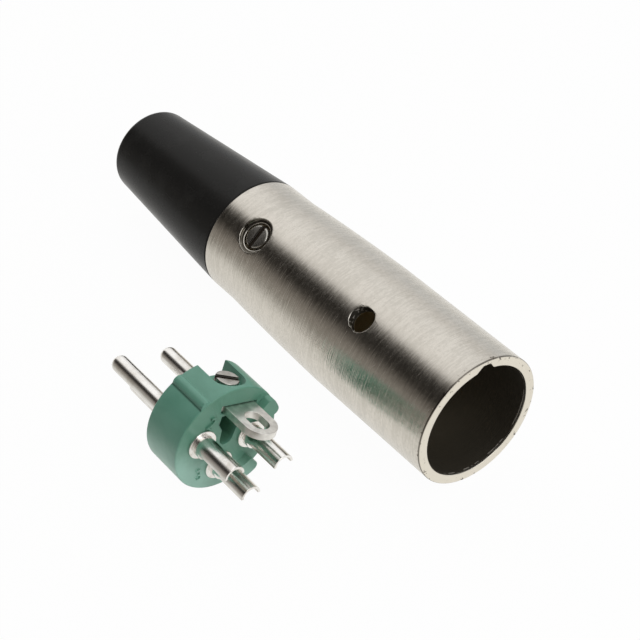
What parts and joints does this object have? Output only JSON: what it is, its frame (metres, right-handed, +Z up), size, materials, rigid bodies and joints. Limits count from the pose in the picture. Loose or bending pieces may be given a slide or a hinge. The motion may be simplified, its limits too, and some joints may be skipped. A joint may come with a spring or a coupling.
{
  "type": "xlr cable plug",
  "caption": "Round audio cable plug shown apart: tapered metal barrel with rubber strain relief boot, and a green insert with contact pins, solder cups and a ground lug.",
  "frame": {"origin": "centre of the barrel's open mouth, on the barrel's axis, at the plane of its rim", "axes": "+X out of the mouth along the barrel's axis; +Z up from the table; the insert lies beside the barrel at -Y, its pins towards -X"},
  "size_m": [0.0753, 0.0431, 0.019],
  "materials": {
    "satin_metal": "satin plated, fine turning lines",
    "black_rubber": "matte",
    "plain_metal": "machined",
    "screw_metal": "plated",
    "green_moulding": "semi-gloss moulded",
    "contact_metal": "bright silver plating over brass",
    "tinned_metal": "dull tin plating over brass"
  },
  "bodies": {
    "plug": {"shell": "satin_metal", "strain_relief_boot": "black_rubber", "insert_body": "green_moulding", "pin_1": "contact_metal", "pin_2": "contact_metal", "pin_3": "contact_metal", "ground_lug": "tinned_metal"},
    "clamp_jaw_upper": {"clamp_jaw_upper": "plain_metal"},
    "clamp_screw_upper": {"clamp_screw_upper": "screw_metal"},
    "clamp_jaw_lower": {"clamp_jaw_lower": "plain_metal"},
    "clamp_screw_lower": {"clamp_screw_lower": "screw_metal"},
    "lock_screw": {"lock_screw": "screw_metal"}
  },
  "joints": [
    {"name": "clamp_jaw_upper_slide", "type": "slide", "parent": "plug", "child": "clamp_jaw_upper", "axis": [0, 0.5892, -0.808], "range_m": [0, 0.00075]},
    {"name": "clamp_screw_upper_turn", "type": "hinge", "parent": "clamp_jaw_upper", "child": "clamp_screw_upper", "pos_m": [-0.0403, -0.00439, 0.00602], "axis": [0, 0.5892, -0.808], "range_deg": [0, 600.01]},
    {"name": "clamp_jaw_lower_slide", "type": "slide", "parent": "plug", "child": "clamp_jaw_lower", "axis": [0, -0.5892, 0.808], "range_m": [0, 0.00075]},
    {"name": "clamp_screw_lower_turn", "type": "hinge", "parent": "clamp_jaw_lower", "child": "clamp_screw_lower", "pos_m": [-0.0403, 0.00439, -0.00602], "axis": [0, -0.5892, 0.808], "range_deg": [0, 600.01]},
    {"name": "lock_screw_slide", "type": "slide", "parent": "plug", "child": "lock_screw", "axis": [0.026, 0.3379, 0.9408], "range_m": [0, 0.0012]}
  ],
  "couplings": [
    {"joint": "clamp_screw_upper_turn", "follows": "clamp_jaw_upper_slide", "rad_per_m": 13963},
    {"joint": "clamp_screw_lower_turn", "follows": "clamp_jaw_lower_slide", "rad_per_m": 13963}
  ]
}
